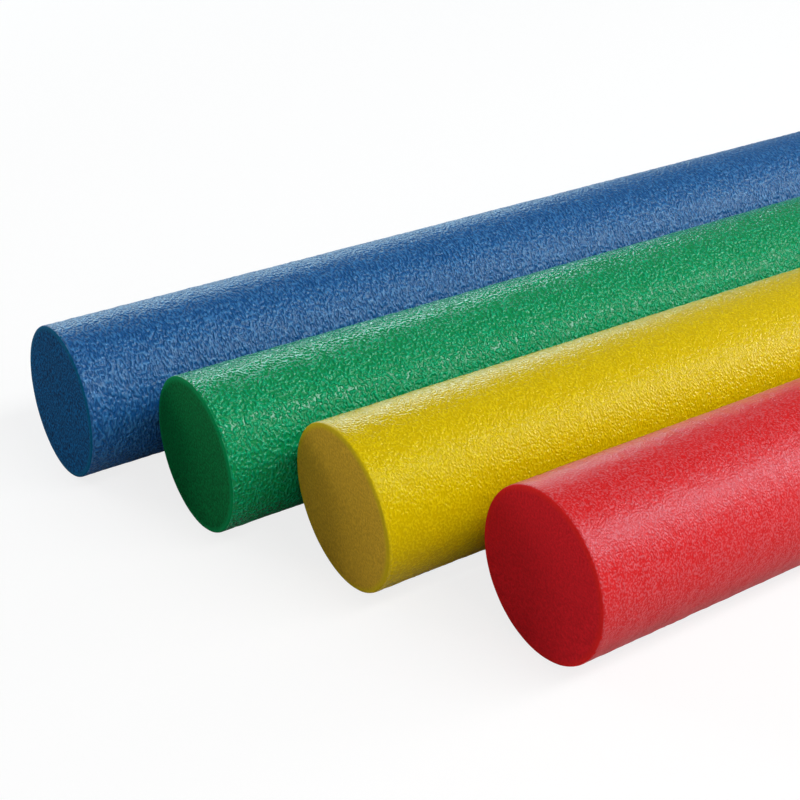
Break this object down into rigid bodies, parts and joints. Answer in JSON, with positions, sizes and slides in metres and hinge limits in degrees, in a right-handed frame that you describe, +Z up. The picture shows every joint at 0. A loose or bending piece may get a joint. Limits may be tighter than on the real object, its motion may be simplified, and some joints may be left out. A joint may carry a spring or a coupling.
{
  "type": "pool noodle set",
  "caption": "Solid round closed-cell foam rods for floating on, laid side by side on the ground with plain sawn ends.",
  "frame": {"origin": "on the ground, under the middle of the box round the four noodles", "axes": "+X along the noodles from the pictured near ends to the far ends, +Y across them from red to blue, +Z up"},
  "size_m": [1.6942, 0.2984, 0.0707],
  "materials": {
    "foam_blue": "closed-cell polyethylene foam, wrinkled satin skin, matt cut ends",
    "foam_green": "closed-cell polyethylene foam, wrinkled satin skin, matt cut ends",
    "foam_yellow": "closed-cell polyethylene foam, wrinkled satin skin, matt cut ends",
    "foam_red": "closed-cell polyethylene foam, wrinkled satin skin, matt cut ends"
  },
  "bodies": {
    "green": {"noodle_green": "foam_green"},
    "blue": {"noodle_blue": "foam_blue"},
    "yellow": {"noodle_yellow": "foam_yellow"},
    "red": {"noodle_red": "foam_red"}
  },
  "joints": [
    {"name": "lift_blue", "type": "slide", "parent": "green", "child": "blue", "axis": [0, 0, 1], "range_m": [0, 0.3]},
    {"name": "lift_yellow", "type": "slide", "parent": "green", "child": "yellow", "axis": [0, 0, 1], "range_m": [0, 0.3]},
    {"name": "lift_red", "type": "slide", "parent": "green", "child": "red", "axis": [0, 0, 1], "range_m": [0, 0.3]}
  ]
}
